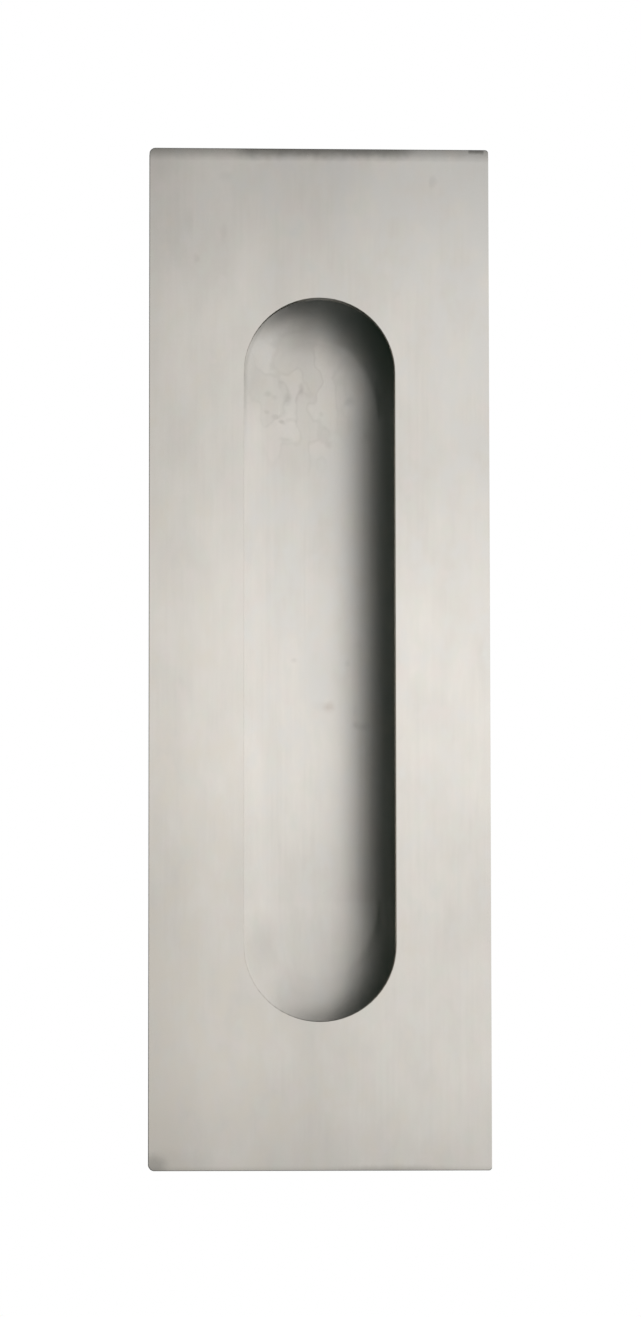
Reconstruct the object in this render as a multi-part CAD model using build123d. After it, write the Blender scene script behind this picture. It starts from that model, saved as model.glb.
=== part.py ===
from build123d import *
import math
import os

# Flush pull cut from one piece of stainless steel: a rectangular face plate with a round-ended finger
# recess, an obround cup behind the plate that holds the recess, and a tapped boss beyond each cup end.
# Frame: +Z up along the plate, the face looks along -Y, the plate's back seats on the door at y = 0.

# Driving dimensions, in millimetres
plate_height = 150.0
plate_width = 50.0
plate_thickness = 3.0
left_corner_radius = 0.9
right_corner_radius = 0.5

recess_length = 106.2
recess_width = 22.2
recess_drop = 0.3
recess_wall = 1.5
recess_dish = 3.9
bow_length = 6.5
bow_angle = 45.0
recess_corner_radius = 0.1
lip_radius = 0.08

cup_wall = 2.6
floor_thickness = 2.1

fixing_centres = 128.0
boss_diameter = 10.0
tap_drill_diameter = 3.3
tapped_depth = 5.2
drill_point_angle = 118.0
thread_lead_in = 0.5

# Roll-off that belt finishing leaves on the face: how far it runs in from the edge, and how far it drops
top_roll_width = 1.8
top_roll_drop = 0.21
bottom_roll_width = 0.8
bottom_roll_drop = 0.03

front_edge_radius = 0.1
back_edge_radius = 0.3
root_radius = 0.5
cup_rim_chamfer = 0.5

# Sizes that follow from them
half_height = plate_height / 2
face_y = -plate_thickness
recess_radius = recess_width / 2
recess_depth = recess_wall + recess_dish
floor_y = face_y + recess_depth
wall_foot_y = face_y + recess_wall
dish_radius = (recess_radius**2 + recess_dish**2) / (2 * recess_dish)
straight_z = recess_length / 2 - recess_radius - bow_length
bow_reach = recess_radius + bow_length
bow_radius = (bow_reach**2 + recess_dish**2) / (2 * recess_dish)
cup_back_y = floor_y + floor_thickness
cup_width = recess_width + 2 * cup_wall
cup_length = recess_length + 2 * cup_wall
boss_z = fixing_centres / 2
tap_radius = tap_drill_diameter / 2


def upright_walls(solid):
    """The faces that stand square to the plate, such as its edges and the outside of the cup."""
    return solid.faces().filter_by(lambda face: abs(face.normal_at().Y) < 1e-6)


def plate():
    """The face plate, with its corners rounded and its face rolled off at the top and bottom edges."""
    outline = Rectangle(plate_width, plate_height)
    outline = fillet(outline.vertices().filter_by_position(Axis.X, -plate_width, 0), left_corner_radius)
    outline = fillet(outline.vertices().group_by(Axis.X)[-1], right_corner_radius)
    blank = extrude(Plane.XZ * outline, amount=plate_thickness)

    top_start = (face_y, half_height - top_roll_width)
    top_end = (face_y + top_roll_drop, half_height)
    bottom_start = (face_y, bottom_roll_width - half_height)
    bottom_end = (face_y + bottom_roll_drop, -half_height)
    side_view = make_face(
        Curve()
        + Line(bottom_start, top_start)
        + TangentArc(top_start, top_end, tangent=(0, 1))
        + Polyline(top_end, (0, half_height), (0, -half_height), bottom_end)
        + TangentArc(bottom_start, bottom_end, tangent=(0, -1))
    )
    rolled = blank & extrude(Plane.YZ * side_view, amount=plate_width, both=True)

    outline_edges = upright_walls(rolled).edges().filter_by(Axis.Y, reverse=True)
    front_edges = outline_edges.filter_by_position(Axis.Y, face_y, face_y / 2)
    eased = fillet(front_edges, front_edge_radius)
    back_edges = upright_walls(eased).edges().group_by(Axis.Y)[-1]
    return fillet(back_edges, back_edge_radius)


def cup_and_bosses():
    """The obround cup and the two round bosses, standing on the back of the plate."""
    footprint = Pos(0, -recess_drop) * Rot(0, 0, 90) * SlotOverall(cup_length, cup_width)
    for z in (-boss_z, boss_z):
        footprint += Pos(0, z) * Circle(boss_diameter / 2)
    return extrude(Plane.XZ * footprint, amount=-cup_back_y)


def cup_walls(body):
    """The outside walls of the cup and the bosses."""
    return upright_walls(body).filter_by_position(Axis.Y, 0, cup_back_y)


def dish():
    """A long round bar that shapes the recess floor: straight along the middle, bowed up at both ends."""
    middle = Pos(0, floor_y - dish_radius, 0)
    bar = middle * Cylinder(dish_radius, 2 * straight_z)
    for side in (-1, 1):
        end = Pos(0, 0, side * straight_z) * middle * Circle(dish_radius)
        hinge = Axis((0, floor_y - bow_radius, side * straight_z), (side, 0, 0))
        bar += revolve(end, axis=hinge, revolution_arc=bow_angle)
    return bar


def recess():
    """The space of the finger recess: a straight wall below the lip, then a dished floor."""
    mouth = Rot(0, 0, 90) * SlotOverall(recess_length, recess_width)
    hollow = extrude(Plane.XZ * mouth, amount=recess_depth, both=True) & dish()
    wall_foot = hollow.edges().filter_by_position(Axis.Y, face_y, wall_foot_y + recess_corner_radius)
    wall_foot = wall_foot.filter_by(Axis.Y, reverse=True)
    return Pos(0, 0, -recess_drop) * fillet(wall_foot, recess_corner_radius)


def tapped_hole():
    """The space of one blind hole, drilled to the thread's inner diameter from the back of its boss."""
    full_depth_y = cup_back_y - tapped_depth
    tip_y = full_depth_y - tap_radius / math.tan(math.radians(drill_point_angle / 2))
    section = make_face(
        Polyline(
            (0, tip_y),
            (tap_radius, full_depth_y),
            (tap_radius, cup_back_y - thread_lead_in),
            (tap_radius + thread_lead_in, cup_back_y),
            (0, cup_back_y),
            close=True,
        )
    )
    return revolve(section, axis=Axis.Y)


def lip_edges(body):
    """The outline of the recess on the face."""
    on_face = body.edges().group_by(Axis.Y)[0]
    near_middle = on_face.filter_by_position(Axis.X, -recess_width, recess_width)
    reach = recess_length / 2 + recess_drop + lip_radius
    return near_middle.filter_by_position(Axis.Z, -reach, reach)


def pull_body():
    """The whole pull as one solid."""
    body = plate() + cup_and_bosses()
    body = fillet(cup_walls(body).edges().group_by(Axis.Y)[0], root_radius)
    body = chamfer(cup_walls(body).edges().group_by(Axis.Y)[-1], cup_rim_chamfer)
    body -= recess()
    body = fillet(lip_edges(body), lip_radius)
    for z in (-boss_z, boss_z):
        body -= Pos(0, 0, z) * tapped_hole()
    return body


os.makedirs("parts", exist_ok=True)
body = pull_body()
body.label = "pull_body"
export_step(body, "parts/pull_body.step")
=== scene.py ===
import bmesh
import bpy
import math
from collections import namedtuple
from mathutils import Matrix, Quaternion, Vector


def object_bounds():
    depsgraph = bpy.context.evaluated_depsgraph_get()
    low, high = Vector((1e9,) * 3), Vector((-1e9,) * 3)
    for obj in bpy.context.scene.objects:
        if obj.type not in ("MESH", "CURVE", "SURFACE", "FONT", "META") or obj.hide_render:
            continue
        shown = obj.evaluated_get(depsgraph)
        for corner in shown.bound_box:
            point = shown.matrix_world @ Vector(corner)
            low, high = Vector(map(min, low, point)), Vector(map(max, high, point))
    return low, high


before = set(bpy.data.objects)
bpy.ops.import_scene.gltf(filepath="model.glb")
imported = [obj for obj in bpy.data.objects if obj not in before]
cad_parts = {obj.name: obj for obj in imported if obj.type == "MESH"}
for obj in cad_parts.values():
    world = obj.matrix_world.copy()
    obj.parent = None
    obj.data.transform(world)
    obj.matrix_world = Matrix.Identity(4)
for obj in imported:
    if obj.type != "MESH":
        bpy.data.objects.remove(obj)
cad_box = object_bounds()

# Sizes of the pull, in metres
MM = 0.001
face_y = cad_box[0].y
top_z = cad_box[1].z
recess_length = 106.2 * MM
recess_radius = 11.1 * MM
recess_drop = 0.3 * MM
arch_z = recess_length / 2 - recess_radius - recess_drop
fixing_centres = 128 * MM
boss_z = fixing_centres / 2
thread_pitch = 0.7 * MM
thread_depth = 0.6 * thread_pitch
thread_radius = 2.2 * MM
thread_end_y = -1.0 * MM

# A fade goes smoothly from the low to the high share while a value goes from the start to the end
Fade = namedtuple("Fade", "start end low high", defaults=(0.0, 1.0))

# Areas of the pull: by how far a surface faces the back, from -1 to 1, or by how deep it lies
facing_back = Fade(0.6, 0.9)
facing_front = Fade(0.3, 0.05)
close_to_face = Fade(face_y + 1.5 * MM, face_y + 0.5 * MM)
below_lip = Fade(face_y + 0.2 * MM, face_y + 1.0 * MM)

# Colours of the steel and of what lies on it, and of the painted shade and painted dark reflection laid on
# it
steel_light = (0.872, 0.830, 0.767, 1.0)
steel_dark = (0.786, 0.748, 0.691, 1.0)
steel_pink = (0.850, 0.784, 0.737, 1.0)
steel_green = (0.808, 0.801, 0.726, 1.0)
steel_warm = (0.840, 0.783, 0.695, 1.0)
steel_cool = (0.816, 0.798, 0.765, 1.0)
# The colour of the marks, and of the painted shade laid on like them
mark_and_shade_colour = (0.33, 0.32, 0.29, 1.0)
rust_colour = (0.46, 0.33, 0.26, 1.0)
# The colour of the painted dark reflection along the rolled top edge
top_reflection_colour = (0.16, 0.155, 0.14, 1.0)

# Finish of the steel: cell sizes along x, y and z, shares of each pattern, heights and roughness
fine_grain = (0.12 * MM, 0.12 * MM, 14 * MM)
coarse_grain = (0.55 * MM, 0.55 * MM, 30 * MM)
fine_share = 0.45
grain_height = 0.8e-6
blotch_size = (5 * MM, 5 * MM, 11 * MM)
blotch_share = 0.65
light_tone = Fade(0.3, 0.7)
tint_size = (2.6 * MM, 2.6 * MM, 3.4 * MM)
pink_tint = Fade(0.50, 0.72, 0.0, 0.5)
green_tint = Fade(0.50, 0.28, 0.0, 0.5)
warm_tone = Fade(0.50, 0.90, 0.0, 0.7)
cool_tone = Fade(0.50, 0.10, 0.0, 0.7)
steel_anisotropy = 0.35
smoothest = 0.23
rougher_by_grain = 0.06
rougher_by_arcs = 0.012
smoother_on_back = 0.02
cutter_radius = 32 * MM
cutter_feed = 0.55 * MM
arc_height = 2.5e-6

# How the tone drifts over the pull: a share for each metre, or for the whole of an area
warmer_leftward = 0.005 / MM
warmer_downward = 0.0018 / MM
cooler_in_recess = 0.15
warmer_in_stains = 0.25

# Marks and patches of painted shade on the face and in the recess, in millimetres: centre, half sizes, and
# how dark each is from 0 to 1
Mark = namedtuple("Mark", "x z half_width half_height strength")
stain_marks = [
    Mark(-2.5, 39.8, 0.45, 0.80, 0.20),
    Mark(-7.4, 38.9, 0.45, 0.45, 0.15),
    Mark(-6.5, 38.5, 0.40, 0.35, 0.10),
    Mark(-4.5, 38.3, 0.50, 0.80, 0.14),
    Mark(-3.1, 38.5, 0.28, 0.50, 0.09),
    Mark(-5.6, 40.5, 0.30, 0.60, 0.09),
    Mark(-5.4, 35.0, 0.42, 0.32, 0.28),
    Mark(-6.3, 35.7, 0.60, 0.28, 0.15),
    Mark(-7.5, 36.4, 0.35, 0.30, 0.15),
    Mark(-4.0, 35.3, 0.80, 0.25, 0.10),
    Mark(0.5, 36.3, 0.30, 0.35, 0.10),
    Mark(-4.7, 32.4, 0.95, 0.30, 0.12),
    Mark(1.6, 31.8, 0.42, 0.50, 0.13),
    Mark(4.6, 38.0, 0.60, 0.50, 0.13),
    Mark(7.3, 32.8, 0.40, 0.70, 0.15),
    Mark(5.5, -9.8, 0.42, 0.40, 0.20),
    Mark(6.6, -10.2, 0.65, 0.38, 0.21),
    Mark(5.5, -7.7, 0.30, 0.80, 0.10),
    Mark(-3.5, -0.2, 0.35, 0.25, 0.10),
    Mark(4.3, -0.7, 0.35, 0.40, 0.12),
    Mark(6.0, 2.0, 0.40, 0.40, 0.09),
    Mark(0.5, -7.0, 1.10, 0.70, 0.06),
]
# Smudges on the face, with painted shade at its top left corner and along its bottom edge
face_smudges_and_shade = [
    Mark(16.7, 70.2, 0.45, 0.80, 0.13),
    Mark(-21.2, 63.8, 1.20, 5.00, 0.06),
    Mark(-19.2, 64.0, 0.60, 1.60, 0.08),
    Mark(-14.1, 62.4, 0.50, 1.30, 0.08),
    Mark(-18.1, 58.5, 0.40, 0.55, 0.10),
    Mark(-13.8, 70.8, 0.90, 0.60, 0.06),
    # Painted shade in the top left corner
    Mark(-23.3, 73.0, 3.00, 2.50, 0.08),
    Mark(-11.0, 65.0, 8.00, 9.00, 0.06),
    # Painted shade along the bottom edge, at its left corner and right of the middle
    Mark(-24.3, -74.4, 1.70, 1.50, 0.42),
    Mark(-21.5, -74.0, 4.00, 1.80, 0.10),
    Mark(10.5, -75.2, 6.50, 0.80, 0.35),
]
# Painted shade in the recess: darker at its two ends, along the foot of the left lip and at the bottom lip
recess_shade_marks = [
    Mark(-2.5, 40.3, 6.50, 4.20, 0.13),
    Mark(-1.5, -41.5, 6.50, 3.50, 0.10),
    Mark(-10.2, 42.5, 2.00, 5.50, 0.22),
    Mark(-9.2, -43.0, 2.40, 4.50, 0.22),
    Mark(1.0, -53.2, 5.50, 1.80, 0.14),
]
rust_marks = [Mark(1.6, -7.2, 0.75, 0.70, 0.22)]
mark_edge = 0.75
mark_waver = 0.8 * MM
waver_size = (1.4 * MM, 1.4 * MM, 1.4 * MM)

# Dried patches in the upper recess: where they lie, their size, and their shade by the level of a noise
stain_centre = Vector((-2.6, 0.0, 38.6)) * MM
stain_reach = Vector((7.5, 0.0, 11.0)) * MM
stain_edge = Fade(1.3, 0.6)
patch_size = (4.2 * MM, 20 * MM, 6.0 * MM)
patch_shade = Fade(0.42, 0.56, 0.0, 0.06)
rim_level = 0.5
rim_shade = Fade(0.035, 0.0, 0.0, 0.09)

# Shade inside the lip of the recess: by the distance from the lip, by height and by side
line_from_lip = Fade(0.75 * MM, 0.15 * MM)
line_by_height = Fade(24 * MM, 46 * MM, 0.0, 0.28)
line_by_side = Fade(-7 * MM, -9 * MM)
crescent_from_lip = Fade(2.6 * MM, 0.5 * MM)
crescent_by_height = Fade(45 * MM, 50 * MM, 0.0, 0.50)
crescent_by_side = Fade(3 * MM, -6 * MM)

# Painted dark reflection along the rolled top edge: by the distance below the edge, and from the middle of
# the band or the dash
top_band_middle = 0.8 * MM
top_band_below = Fade(2.2 * MM, 0.0)
top_band_along = Fade(14.5 * MM, 10.5 * MM, 0.28, 0.70)
dash_middle = 23.2 * MM
dash_below = Fade(1.1 * MM, 0.2 * MM)
dash_along = Fade(1.5 * MM, 0.9 * MM, 0.0, 0.75)

# Camera, fitted to the edges of the plate in the photograph
camera_distance = 0.740
camera_yaw = math.radians(2.762)
camera_pitch = math.radians(4.413)
camera_roll = math.radians(-0.07)
camera_aim = Vector((0.10 * MM, face_y, -0.404 * MM))
camera_lens = 138.26

# Stage
floor_z = -0.20
floor_radius = 1.0
floor_fade = Fade(0.30, floor_radius)
floor_colour = (0.86, 0.86, 0.85, 1.0)
white = (1.0, 1.0, 1.0, 1.0)
diffuse_world = 0.75
lamp_place = Vector((0.7, -1.0, 1.1))
lamp_size = 1.2
lamp_watts = 9.0
scrim_radius = 0.8
scrim_narrowing = math.tan(math.radians(23))
screen_gap = 27 * MM
screen_size = 0.3
cloth_colour = (0.001, 0.006, 0.003, 1.0)

# Share of the white surround that the scrim lets through, by degrees round the pull or above its level
left_flag = Fade(-62, -5)
left_flag_back = Fade(-95, -130)
right_dip_side = 40
right_dip = Fade(5, 35, 0.91, 1.0)
behind = Fade(180, 76, 0.55, 1.0)
ceiling = Fade(54, 40, 0.06, 1.0)
upper_fade = Fade(45, 8, 0.68, 1.0)
floor_flag = Fade(-36, -9, 0.02, 1.0)
floor_glow = Fade(-42, -72, 0.0, 0.3)

# The same for the screen close to the face, by the place in millimetres up it and across it
screen_middle_z = -2.0
screen_by_height = Fade(38, 8, 0.86, 1.0)
screen_ends = Fade(85, 52, 0.78, 1.0)
screen_by_width = Fade(-27, -6, 0.78, 0.98)
middle_strip = Fade(2, 14, 0.87, 1.0)


class Nodes:
    """Short calls for building one node tree."""

    def __init__(self, owner):
        owner.use_nodes = True
        self.tree = owner.node_tree
        self.tree.nodes.clear()

    def add(self, kind, **settings):
        node = self.tree.nodes.new(kind)
        for name, value in settings.items():
            setattr(node, name, value)
        return node

    def feed(self, socket, source):
        """Puts a constant, or the output of another node, into a socket."""
        if isinstance(source, bpy.types.NodeSocket):
            self.tree.links.new(source, socket)
        else:
            socket.default_value = source

    def feed_all(self, node, sources):
        for socket, source in zip(node.inputs, sources):
            self.feed(socket, source)

    def math(self, operation, *sources):
        node = self.add("ShaderNodeMath", operation=operation)
        self.feed_all(node, sources)
        return node.outputs["Value"]

    def plus(self, total, *others):
        for other in others:
            total = self.math("ADD", total, other)
        return total

    def times(self, product, *others):
        for other in others:
            product = self.math("MULTIPLY", product, other)
        return product

    def vector(self, operation, *sources):
        node = self.add("ShaderNodeVectorMath", operation=operation)
        self.feed_all(node, sources)
        return node.outputs["Value" if operation == "LENGTH" else "Vector"]

    def split(self, vector):
        node = self.add("ShaderNodeSeparateXYZ")
        self.feed(node.inputs["Vector"], vector)
        return node.outputs["X"], node.outputs["Y"], node.outputs["Z"]

    def combine(self, x, y, z):
        node = self.add("ShaderNodeCombineXYZ")
        self.feed_all(node, (x, y, z))
        return node.outputs["Vector"]

    def fade(self, value, fade):
        """The share that a fade gives for a value."""
        node = self.add("ShaderNodeMapRange", interpolation_type="SMOOTHSTEP")
        names = ("Value", "From Min", "From Max", "To Min", "To Max")
        for name, source in zip(names, (value, *fade)):
            self.feed(node.inputs[name], source)
        return node.outputs["Result"]

    def noise(self, place, cell, detail=2.0):
        """Noise with cells of the given size along x, y and z."""
        stretch = [1 / size for size in cell]
        node = self.add("ShaderNodeTexNoise")
        node.inputs["Scale"].default_value = 1.0
        node.inputs["Detail"].default_value = detail
        self.feed(node.inputs["Vector"], self.vector("MULTIPLY", place, stretch))
        return node

    def mix(self, factor, first, second):
        """A colour between two others. The node's colour sockets are inputs 6 and 7 and output 2."""
        node = self.add("ShaderNodeMix", data_type="RGBA")
        self.feed(node.inputs[0], factor)
        self.feed(node.inputs[6], first)
        self.feed(node.inputs[7], second)
        return node.outputs[2]

    def shade(self, factor, first, second):
        node = self.add("ShaderNodeMixShader")
        self.feed_all(node, (factor, first, second))
        return node.outputs["Shader"]

    def finish(self, shader, output="ShaderNodeOutputMaterial"):
        self.feed(self.add(output).inputs["Surface"], shader)


class Surface:
    """Where a point lies on the pull: its place, also wavered for uneven marks, and the areas it is in."""

    def __init__(self, nodes):
        self.place = nodes.add("ShaderNodeTexCoord").outputs["Object"]
        self.x, self.y, self.z = nodes.split(self.place)

        waver = nodes.noise(self.place, waver_size).outputs["Color"]
        centred = nodes.vector("SUBTRACT", waver, (0.5, 0.5, 0.5))
        self.wavered = nodes.vector("ADD", self.place, nodes.vector("MULTIPLY", centred, (mark_waver,) * 3))

        normal = nodes.add("ShaderNodeNewGeometry").outputs["Normal"]
        towards_back = nodes.split(normal)[1]
        self.on_back = nodes.fade(towards_back, facing_back)
        self.on_front = nodes.fade(towards_back, facing_front)
        self.near_face = nodes.fade(self.y, close_to_face)
        self.in_recess = nodes.fade(self.y, below_lip)
        self.stained = nodes.times(stained_area(nodes, self.place), self.in_recess)


def stained_area(nodes, place):
    """Where drops have dried in the upper recess, from 0 outside to 1 in the middle."""
    shrink = (1 / stain_reach.x, 0, 1 / stain_reach.z)
    offset = nodes.vector("MULTIPLY", nodes.vector("SUBTRACT", place, stain_centre), shrink)
    return nodes.fade(nodes.vector("LENGTH", offset), stain_edge)


def spread(nodes, place, marks):
    """How dark a set of marks is at a place on the surface, from 0 to 1."""
    total = 0.0
    for mark in marks:
        centre = Vector((mark.x, 0, mark.z)) * MM
        shrink = Vector((1 / mark.half_width, 0, 1 / mark.half_height)) / MM
        offset = nodes.vector("MULTIPLY", nodes.vector("SUBTRACT", place, centre), shrink)
        edge = Fade(1 + mark_edge, 1 - mark_edge, 0.0, mark.strength)
        total = nodes.plus(total, nodes.fade(nodes.vector("LENGTH", offset), edge))
    return total


def dried_patches(nodes, surface):
    """Faint uneven patches with a slightly darker rim, left by the drops."""
    field = nodes.noise(surface.wavered, patch_size, detail=1.5).outputs["Fac"]
    patch = nodes.fade(field, patch_shade)
    off_rim = nodes.math("ABSOLUTE", nodes.math("SUBTRACT", field, rim_level))
    rim = nodes.fade(off_rim, rim_shade)
    return nodes.times(surface.stained, nodes.plus(patch, rim))


def lip_shade(nodes, x, z):
    """The thin dark line inside the upper left of the lip, and the dark crescent that it ends in."""
    past_arch = nodes.math("MAXIMUM", nodes.math("SUBTRACT", z, arch_z), 0.0)
    from_axis = nodes.vector("LENGTH", nodes.combine(x, 0.0, past_arch))
    from_lip = nodes.math("SUBTRACT", recess_radius, from_axis)
    line = nodes.times(
        nodes.fade(from_lip, line_from_lip),
        nodes.fade(z, line_by_height),
        nodes.fade(x, line_by_side),
    )
    crescent = nodes.times(
        nodes.fade(from_lip, crescent_from_lip),
        nodes.fade(z, crescent_by_height),
        nodes.fade(x, crescent_by_side),
    )
    return nodes.plus(line, crescent)


def painted_top_edge_reflection(nodes, x, z):
    """Painted dark reflection: the uneven dark band along the middle of the rolled top edge, and a short
    dash at its right corner.
    """
    below = nodes.math("SUBTRACT", top_z, z)
    from_middle = nodes.math("ABSOLUTE", nodes.math("SUBTRACT", x, top_band_middle))
    band = nodes.times(nodes.fade(below, top_band_below), nodes.fade(from_middle, top_band_along))
    from_dash = nodes.math("ABSOLUTE", nodes.math("SUBTRACT", x, dash_middle))
    dash = nodes.times(nodes.fade(below, dash_below), nodes.fade(from_dash, dash_along))
    return nodes.math("MAXIMUM", band, dash)


def drift_of_tone(nodes, surface):
    """How much warmer the steel is towards the left, the bottom and the stains, and cooler in the recess."""
    return nodes.plus(
        nodes.times(surface.x, -warmer_leftward),
        nodes.times(surface.z, -warmer_downward),
        nodes.times(surface.in_recess, -cooler_in_recess),
        nodes.times(surface.stained, warmer_in_stains),
    )


def brushed_grain(nodes, place):
    """Fine and coarse lines along the length, from 0 to 1."""
    fine = nodes.noise(place, fine_grain).outputs["Fac"]
    coarse = nodes.noise(place, coarse_grain).outputs["Fac"]
    return nodes.plus(nodes.times(fine, fine_share), nodes.times(coarse, 1 - fine_share))


def milled_arcs(nodes, surface):
    """Height of the arcs that a face mill leaves on the back, from -1 to 1."""
    square = nodes.times(surface.x, surface.x)
    sweep = nodes.math("SQRT", nodes.math("SUBTRACT", cutter_radius ** 2, square))
    travel = nodes.math("SUBTRACT", surface.z, sweep)
    return nodes.times(nodes.math("SINE", nodes.times(travel, math.tau / cutter_feed)), surface.on_back)


def screw_thread(nodes, x, y, z):
    """Height of the thread in the two tapped holes, from 0 to 0.5."""
    across = nodes.math("SUBTRACT", nodes.math("ABSOLUTE", z), boss_z)
    radius = nodes.vector("LENGTH", nodes.combine(x, 0.0, across))
    inside = nodes.math("LESS_THAN", radius, thread_radius)
    inside = nodes.times(inside, nodes.math("GREATER_THAN", y, thread_end_y))
    turn = nodes.math("DIVIDE", nodes.math("ARCTAN2", across, x), math.tau)
    turns = nodes.plus(nodes.math("DIVIDE", y, thread_pitch), turn)
    return nodes.times(nodes.math("PINGPONG", turns, 0.5), inside)


def clean_colour(nodes, surface, brushed):
    """The steel's own colour: lighter and darker blotches, and faint tints."""
    blotch = nodes.noise(surface.place, blotch_size, detail=5.0).outputs["Fac"]
    tone = nodes.plus(nodes.times(brushed, 1 - blotch_share), nodes.times(blotch, blotch_share))
    tint, warmth, _ = nodes.split(nodes.noise(surface.place, tint_size, detail=3.0).outputs["Color"])
    warmth = nodes.plus(warmth, drift_of_tone(nodes, surface))

    colour = nodes.mix(nodes.fade(tone, light_tone), steel_dark, steel_light)
    colour = nodes.mix(nodes.fade(tint, pink_tint), colour, steel_pink)
    colour = nodes.mix(nodes.fade(tint, green_tint), colour, steel_green)
    colour = nodes.mix(nodes.fade(warmth, warm_tone), colour, steel_warm)
    return nodes.mix(nodes.fade(warmth, cool_tone), colour, steel_cool)


def marked_and_shaded_colour(nodes, surface, colour):
    """The colour with the stains, spots and rust of the front laid over it, with painted shade in the
    recess, at the face's corners and bottom edge, and a painted dark reflection along the top edge.
    """
    # Painted shade in the recess, with the painted line and crescent inside the upper left of the lip
    recess_shade = nodes.plus(spread(nodes, surface.place, recess_shade_marks), lip_shade(nodes, surface.x, surface.z))
    dark = nodes.plus(
        dried_patches(nodes, surface),
        nodes.times(recess_shade, surface.in_recess),
        spread(nodes, surface.wavered, stain_marks),
        spread(nodes, surface.wavered, face_smudges_and_shade),
    )
    rust = spread(nodes, surface.wavered, rust_marks)
    # Painted dark reflection along the rolled top edge, faded towards the back
    top_edge_reflection = painted_top_edge_reflection(nodes, surface.x, nodes.split(surface.wavered)[2])
    colour = nodes.mix(nodes.times(dark, surface.on_front), colour, mark_and_shade_colour)
    colour = nodes.mix(nodes.times(rust, surface.on_front), colour, rust_colour)
    return nodes.mix(nodes.times(top_edge_reflection, surface.near_face), colour, top_reflection_colour)


def satin_steel():
    """Stainless steel brushed along its length, marked and painted with shade and a dark reflection on the
    front, and milled on the back.
    """
    material = bpy.data.materials.new("satin_stainless")
    nodes = Nodes(material)
    surface = Surface(nodes)
    brushed = brushed_grain(nodes, surface.place)
    arcs = milled_arcs(nodes, surface)
    thread = screw_thread(nodes, surface.x, surface.y, surface.z)
    colour = marked_and_shaded_colour(nodes, surface, clean_colour(nodes, surface, brushed))
    roughness = nodes.plus(
        smoothest,
        nodes.times(brushed, rougher_by_grain),
        nodes.times(arcs, rougher_by_arcs),
        nodes.times(surface.on_back, -smoother_on_back),
    )
    height = nodes.plus(
        nodes.times(brushed, grain_height),
        nodes.times(arcs, arc_height),
        nodes.times(thread, thread_depth),
    )
    bump = nodes.add("ShaderNodeBump")
    bump.inputs["Distance"].default_value = 1.0
    nodes.feed(bump.inputs["Height"], height)
    around = nodes.add("ShaderNodeTangent", direction_type="RADIAL", axis="Z")

    steel = nodes.add("ShaderNodeBsdfPrincipled")
    steel.inputs["Metallic"].default_value = 1.0
    steel.inputs["Anisotropic"].default_value = steel_anisotropy
    nodes.feed(steel.inputs["Base Color"], colour)
    nodes.feed(steel.inputs["Roughness"], roughness)
    nodes.feed(steel.inputs["Normal"], bump.outputs["Normal"])
    nodes.feed(steel.inputs["Tangent"], around.outputs["Tangent"])
    nodes.finish(steel.outputs["BSDF"])
    return material


def finish_pull():
    """Gives the pull its steel."""
    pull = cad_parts["pull_body"]
    material = satin_steel()
    for slot in pull.material_slots:
        slot.material = material


def add_camera():
    """A long lens, a little below and to the left of the middle of the plate."""
    forward = Vector((
        math.sin(camera_yaw) * math.cos(camera_pitch),
        math.cos(camera_yaw) * math.cos(camera_pitch),
        math.sin(camera_pitch),
    ))
    lens = bpy.data.cameras.new("camera")
    lens.lens = camera_lens
    camera = bpy.data.objects.new("camera", lens)
    camera.location = camera_aim - forward * camera_distance
    camera.rotation_mode = "QUATERNION"
    camera.rotation_quaternion = forward.to_track_quat("-Z", "Y") @ Quaternion((0, 0, 1), camera_roll)
    bpy.context.collection.objects.link(camera)
    bpy.context.scene.camera = camera


def add_world():
    """A white surround, at full strength for the camera and the metal, and weaker on the floor."""
    world = bpy.data.worlds.new("white_surround")
    nodes = Nodes(world)
    path = nodes.add("ShaderNodeLightPath").outputs
    seen = nodes.plus(path["Is Camera Ray"], path["Is Glossy Ray"], path["Is Transmission Ray"])
    background = nodes.add("ShaderNodeBackground")
    background.inputs["Color"].default_value = white
    nodes.feed(background.inputs["Strength"], nodes.fade(seen, Fade(0.0, 1.0, diffuse_world, 1.0)))
    nodes.finish(background.outputs["Background"], "ShaderNodeOutputWorld")
    bpy.context.scene.world = world


def add_stage_mesh(name, shape, material):
    """Something that stands around the pull and is no part of it."""
    mesh = bpy.data.meshes.new(name)
    shape.to_mesh(mesh)
    shape.free()
    mesh.materials.append(material)
    stage = bpy.data.objects.new(name, mesh)
    bpy.context.collection.objects.link(stage)
    return stage


def floor_material():
    """Pale matt floor that keeps the shadow, fading into the white surround and clear from below."""
    material = bpy.data.materials.new("pale_floor")
    nodes = Nodes(material)
    place = nodes.add("ShaderNodeTexCoord").outputs["Object"]
    clear = nodes.fade(nodes.vector("LENGTH", place), floor_fade)
    under = nodes.add("ShaderNodeNewGeometry").outputs["Backfacing"]
    matt = nodes.add("ShaderNodeBsdfDiffuse")
    matt.inputs["Color"].default_value = floor_colour
    glass = nodes.add("ShaderNodeBsdfTransparent").outputs["BSDF"]
    nodes.finish(nodes.shade(nodes.math("MAXIMUM", clear, under), matt.outputs["BSDF"], glass))
    return material


def add_floor():
    """A round floor below the pull, out of the camera's view."""
    shape = bmesh.new()
    bmesh.ops.create_circle(shape, cap_ends=True, radius=floor_radius, segments=96)
    floor = add_stage_mesh("floor", shape, floor_material())
    floor.location.z = floor_z
    floor.visible_glossy = False


def dimmer(nodes, through):
    """Finishes a material as dark cloth that lets a share of the light through."""
    cloth = nodes.add("ShaderNodeEmission")
    cloth.inputs["Color"].default_value = cloth_colour
    gap = nodes.add("ShaderNodeBsdfTransparent").outputs["BSDF"]
    nodes.finish(nodes.shade(through, cloth.outputs["Emission"], gap))


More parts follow.
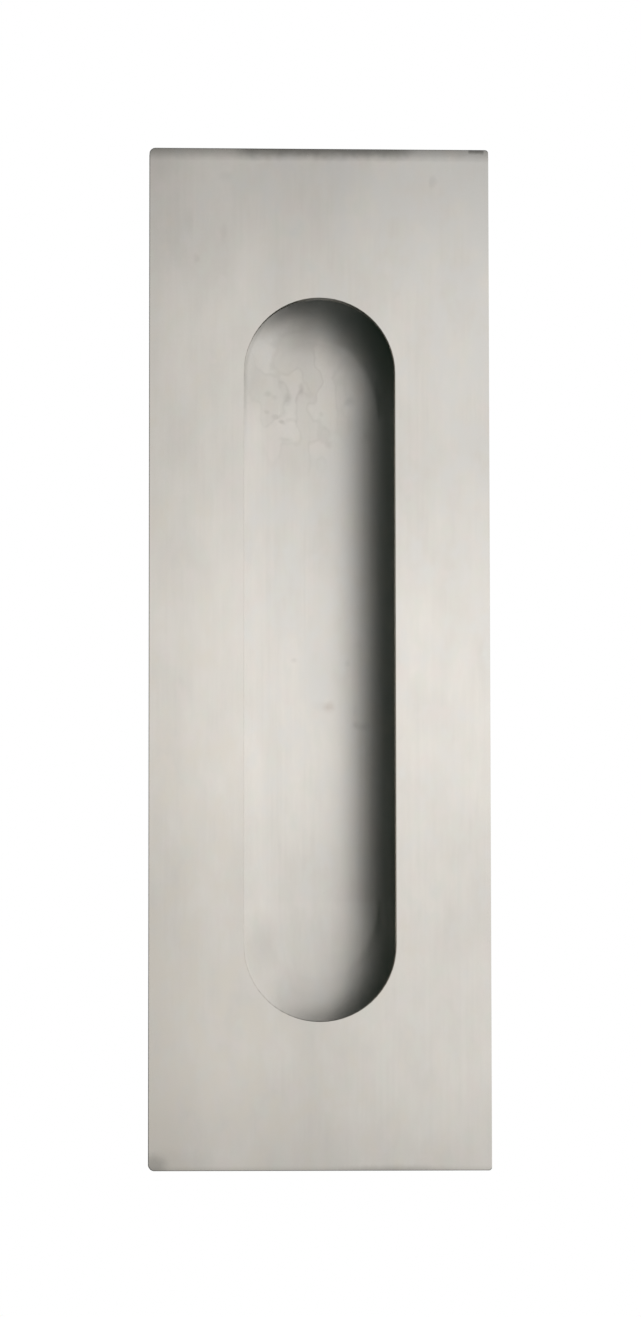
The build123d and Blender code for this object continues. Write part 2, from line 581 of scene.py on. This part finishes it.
def scrim_material():
    """A graded scrim: the surround shows through it less at the left, above, below and behind the pull."""
    material = bpy.data.materials.new("graded_scrim")
    nodes = Nodes(material)
    place = nodes.add("ShaderNodeTexCoord").outputs["Object"]
    direction = nodes.vector("NORMALIZE", place)
    x, y, z = nodes.split(direction)
    side = nodes.math("DEGREES", nodes.math("ARCTAN2", x, nodes.times(y, -1.0)))
    through = nodes.math("MAXIMUM", nodes.fade(side, left_flag), nodes.fade(side, left_flag_back))
    around = nodes.fade(nodes.math("ABSOLUTE", side), behind)
    from_dip = nodes.math("ABSOLUTE", nodes.math("SUBTRACT", side, right_dip_side))
    through = nodes.times(through, nodes.fade(from_dip, right_dip), around)
    # What dims it above and below closes in towards the left
    narrowing = nodes.times(nodes.math("MAXIMUM", nodes.times(x, -1.0), 0.0), scrim_narrowing)
    above = nodes.math("DEGREES", nodes.math("ARCSINE", nodes.plus(z, narrowing)))
    below = nodes.math("DEGREES", nodes.math("ARCSINE", nodes.math("SUBTRACT", z, narrowing)))
    low_light = nodes.math("MAXIMUM", nodes.fade(below, floor_flag), nodes.fade(below, floor_glow))
    through = nodes.times(through, nodes.fade(above, ceiling), nodes.fade(above, upper_fade), low_light)
    dimmer(nodes, through)
    return material


def screen_material():
    """A graded screen: dimmer towards its ends and its left, and in a strip up its middle."""
    material = bpy.data.materials.new("graded_screen")
    nodes = Nodes(material)
    place = nodes.vector("DIVIDE", nodes.add("ShaderNodeTexCoord").outputs["Object"], (MM,) * 3)
    x, _, z = nodes.split(place)
    from_middle = nodes.math("ABSOLUTE", nodes.math("SUBTRACT", z, screen_middle_z))
    from_strip = nodes.math("ABSOLUTE", x)
    upright = nodes.times(nodes.fade(from_middle, screen_by_height), nodes.fade(from_middle, screen_ends))
    across = nodes.times(nodes.fade(x, screen_by_width), nodes.fade(from_strip, middle_strip))
    dimmer(nodes, nodes.times(upright, across))
    return material


def add_reflected_only(name, shape, material):
    """Something on the stage that only reflections see."""
    stage = add_stage_mesh(name, shape, material)
    stage.visible_camera = False
    stage.visible_diffuse = False
    stage.visible_shadow = False
    stage.visible_transmission = False


def add_scrim():
    """A shell around the pull."""
    shape = bmesh.new()
    bmesh.ops.create_uvsphere(shape, u_segments=64, v_segments=32, radius=scrim_radius)
    add_reflected_only("scrim", shape, scrim_material())


def add_screen():
    """A flat screen in front of the face."""
    shape = bmesh.new()
    half = screen_size / 2
    y = face_y - screen_gap
    corners = ((-half, -half), (half, -half), (half, half), (-half, half))
    shape.faces.new([shape.verts.new((x, y, z)) for x, z in corners])
    add_reflected_only("screen", shape, screen_material())


def add_lamp():
    """One large soft lamp, for the shadow on the floor."""
    light = bpy.data.lights.new("soft_lamp", "AREA")
    light.energy = lamp_watts
    light.size = lamp_size
    lamp = bpy.data.objects.new("soft_lamp", light)
    lamp.location = lamp_place
    lamp.rotation_mode = "QUATERNION"
    lamp.rotation_quaternion = (-lamp_place).to_track_quat("-Z", "Y")
    lamp.visible_glossy = False
    bpy.context.collection.objects.link(lamp)


finish_pull()
add_camera()
add_world()
add_floor()
add_scrim()
add_screen()
add_lamp()
bpy.context.scene.view_settings.view_transform = "Standard"
